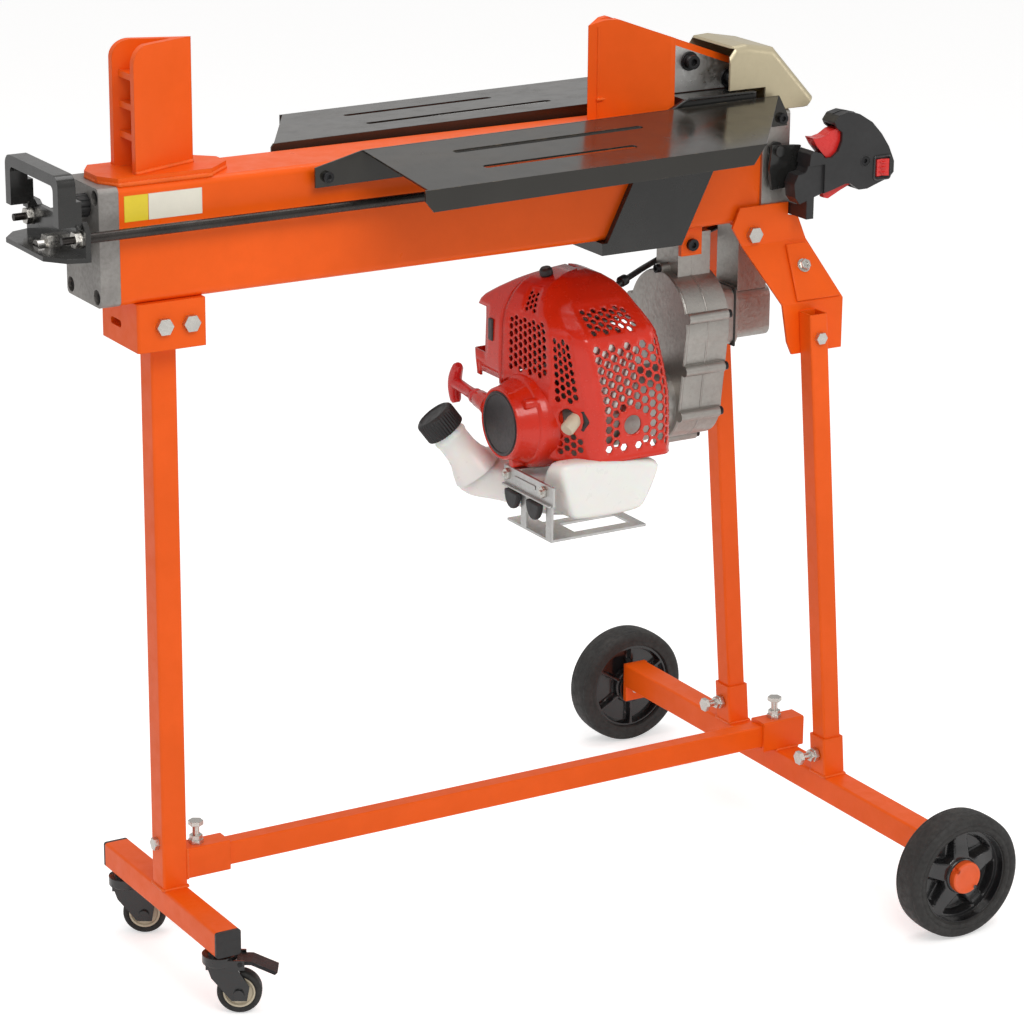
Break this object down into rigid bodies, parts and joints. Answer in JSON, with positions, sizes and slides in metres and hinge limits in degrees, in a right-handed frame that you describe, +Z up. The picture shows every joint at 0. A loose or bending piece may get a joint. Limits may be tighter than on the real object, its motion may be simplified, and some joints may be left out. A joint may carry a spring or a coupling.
{
  "type": "log splitter",
  "caption": "Freestanding engine driven hydraulic wood splitter, boxed oil beam with fixed wedge, sliding pusher plough, log trays, wheeled tubular stand and casters",
  "frame": {"origin": "middle of the machine's plan, on the ground", "axes": "+Z up, -X towards the wedge and casters, +X towards the engine grip and the two large wheels, +Y to the far side, across the machine"},
  "size_m": [1.0566, 0.7596, 1.061],
  "materials": {
    "orange_paint": "satin orange powder coat",
    "black_frame_paint": "satin black powder coat",
    "zinc": "bright zinc plate",
    "black_oxide": "black oxide",
    "cast_grey": "as cast, light oil",
    "ground_steel": "ground and hard chromed",
    "cast_alloy": "die cast, matt",
    "red_moulding": "glossy red moulding",
    "black_moulding": "textured black moulding",
    "white_tank": "translucent white moulding",
    "tyre_black": "moulded tread",
    "cap_orange": "orange moulding",
    "cover_metal": "satin champagne grey",
    "badge_grey": "satin grey disc",
    "caster_tread": "moulded"
  },
  "bodies": {
    "frame": {"beam_tank": "orange_paint", "breather_plug": "black_moulding", "clamp_screws": "zinc", "cylinder_tube": "zinc", "engine_block": "cast_alloy", "engine_cover": "red_moulding", "filter_cover": "red_moulding", "foot_plugs": "black_moulding", "front_end_cap": "cast_grey", "front_foot_frame": "orange_paint", "front_leg_bracket": "orange_paint", "fuel_tank": "white_tank", "gearbox_front": "cast_alloy", "gearbox_rear": "cast_alloy", "hex_bolts": "zinc", "log_tray_far": "black_frame_paint", "log_tray_near": "black_frame_paint", "lower_rail": "orange_paint", "muffler": "zinc", "pump_body": "cast_alloy", "rear_axle_beam": "orange_paint", "rear_bracket": "orange_paint", "rear_cover": "cover_metal", "rear_leg_far": "orange_paint", "rear_leg_near": "orange_paint", "rear_valve_block": "cast_alloy", "recoil_badge": "badge_grey", "recoil_housing": "red_moulding", "socket_screws": "black_oxide", "splitting_wedge": "orange_paint", "stand_bracket": "zinc", "throttle_cable": "black_moulding", "throttle_grip": "black_moulding", "tray_screws": "black_oxide", "wheel_axle_bolts": "zinc"},
    "ram": {"piston_rod": "ground_steel", "cross_plate": "black_frame_paint", "tie_rods": "ground_steel", "ram_nuts": "zinc", "carriage_collar": "black_frame_paint", "pusher_plough": "orange_paint", "pusher_side_plates": "zinc", "pusher_bolts": "black_oxide"},
    "wheel_near": {"wheel_near": "tyre_black", "hub_cap_near": "cap_orange"},
    "wheel_far": {"wheel_far": "tyre_black", "hub_cap_far": "cap_orange"},
    "swivel_near": {"caster_fork_near": "black_frame_paint"},
    "swivel_far": {"caster_fork_far": "black_frame_paint"},
    "caster_wheel_near": {"caster_wheel_near": "caster_tread"},
    "caster_wheel_far": {"caster_wheel_far": "caster_tread"},
    "brake": {"caster_brake": "black_oxide"},
    "lever": {"valve_lever": "black_oxide"},
    "trigger": {"throttle_trigger": "red_moulding"},
    "lockout": {"lockout_lever": "red_moulding"},
    "switch": {"stop_switch": "red_moulding"},
    "starter": {"pull_handle": "red_moulding"},
    "cap": {"fuel_cap": "black_moulding"},
    "crank": {"crankshaft": "ground_steel"},
    "pump_shaft": {"driven_gear": "ground_steel"}
  },
  "joints": [
    {"name": "ram_slide", "type": "slide", "parent": "frame", "child": "ram", "axis": [-1, 0, 0], "range_m": [0, 0.37]},
    {"name": "wheel_near_spin", "type": "hinge", "parent": "frame", "child": "wheel_near", "pos_m": [0.4533, -0.358, 0.075], "axis": [0, 1, 0], "continuous": true},
    {"name": "wheel_far_spin", "type": "hinge", "parent": "frame", "child": "wheel_far", "pos_m": [0.4533, 0.358, 0.075], "axis": [0, 1, 0], "continuous": true},
    {"name": "swivel_near_turn", "type": "hinge", "parent": "frame", "child": "swivel_near", "pos_m": [-0.3783, -0.122, 0.07], "axis": [0, 0, 1], "continuous": true},
    {"name": "swivel_far_turn", "type": "hinge", "parent": "frame", "child": "swivel_far", "pos_m": [-0.3783, 0.122, 0.07], "axis": [0, 0, 1], "continuous": true},
    {"name": "caster_near_spin", "type": "hinge", "parent": "swivel_near", "child": "caster_wheel_near", "pos_m": [-0.35944, -0.13333, 0.025], "axis": [0.515, 0.8572, 0], "continuous": true},
    {"name": "caster_far_spin", "type": "hinge", "parent": "swivel_far", "child": "caster_wheel_far", "pos_m": [-0.35944, 0.11067, 0.025], "axis": [0.515, 0.8572, 0], "continuous": true},
    {"name": "brake_press", "type": "hinge", "parent": "swivel_near", "child": "brake", "pos_m": [-0.35773, -0.13436, 0.0621], "axis": [0.515, 0.8572, 0], "range_deg": [0, 8]},
    {"name": "lever_swing", "type": "hinge", "parent": "frame", "child": "lever", "pos_m": [0.3837, -0.05, 0.874], "axis": [0, -1, 0], "range_deg": [0, 25]},
    {"name": "trigger_pull", "type": "hinge", "parent": "frame", "child": "trigger", "pos_m": [0.4597, -0.075, 0.884], "axis": [0, -1, 0], "range_deg": [0, 12]},
    {"name": "lockout_press", "type": "hinge", "parent": "frame", "child": "lockout", "pos_m": [0.4687, -0.075, 0.837], "axis": [0, 1, 0], "range_deg": [0, 8]},
    {"name": "switch_rock", "type": "hinge", "parent": "frame", "child": "switch", "pos_m": [0.5077, -0.084, 0.848], "axis": [0, 0, 1], "range_deg": [0, 12]},
    {"name": "starter_pull", "type": "slide", "parent": "frame", "child": "starter", "axis": [0, 0.995, 0.0995], "range_m": [0, 0.6]},
    {"name": "cap_turn", "type": "hinge", "parent": "frame", "child": "cap", "pos_m": [0.02146, 0.07747, 0.55671], "axis": [-0.5486, 0.2494, 0.798], "range_deg": [0, 180]},
    {"name": "crank_spin", "type": "hinge", "parent": "frame", "child": "crank", "pos_m": [0.2647, 0, 0.582], "axis": [1, 0, 0], "continuous": true},
    {"name": "pump_spin", "type": "hinge", "parent": "frame", "child": "pump_shaft", "pos_m": [0.2647, 0, 0.676], "axis": [1, 0, 0], "continuous": true}
  ],
  "couplings": [
    {"joint": "pump_spin", "follows": "crank_spin", "ratio": -0.75}
  ]
}
